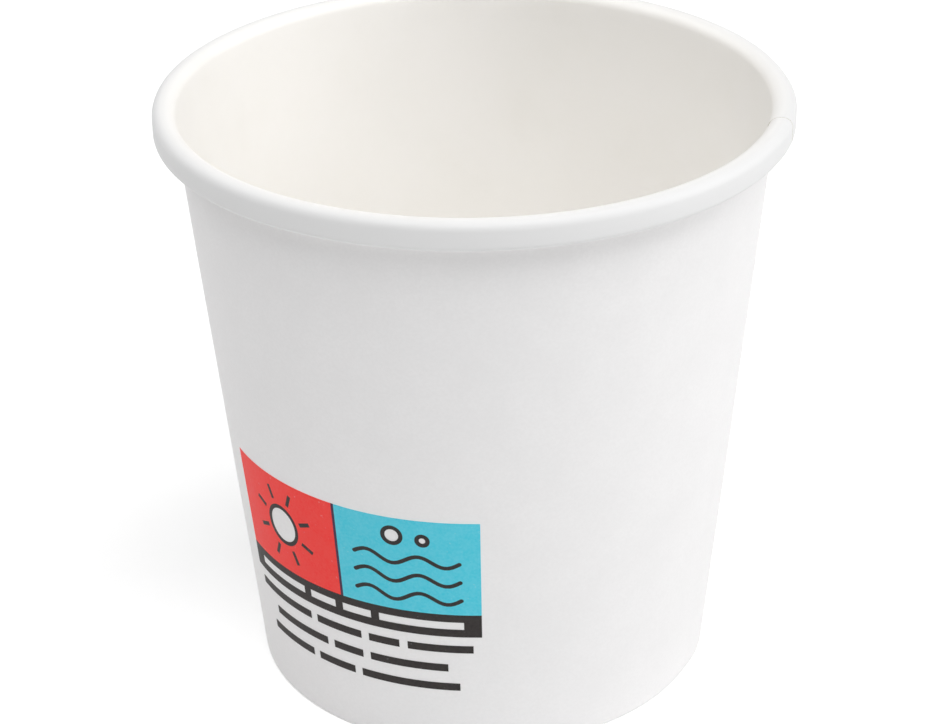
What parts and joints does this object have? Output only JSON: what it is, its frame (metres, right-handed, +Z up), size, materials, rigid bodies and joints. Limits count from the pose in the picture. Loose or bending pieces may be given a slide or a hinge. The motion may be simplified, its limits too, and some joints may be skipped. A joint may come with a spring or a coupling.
{
  "type": "paper cup",
  "caption": "Small single-wall paper cup for hot drinks, tapered, with a rolled rim, a lapped side seam, a recessed bottom and a plain two-colour printed panel.",
  "frame": {"origin": "centre of the circle that the foot rests on", "axes": "+Z up along the cup's axis, -Y towards the picture's camera, +X to the picture's right"},
  "size_m": [0.0636, 0.0634, 0.062],
  "materials": {
    "sidewall": "matte white board outside, thin smooth coating inside",
    "bottom": "white board with a thin smooth coating on the upper side",
    "ink_red": "matte ink on board",
    "ink_blue": "matte ink on board",
    "ink_black": "matte ink on board"
  },
  "bodies": {
    "root": {"sidewall": "sidewall", "bottom": "bottom", "print_red": "ink_red", "print_blue": "ink_blue", "print_black": "ink_black"}
  },
  "joints": []
}
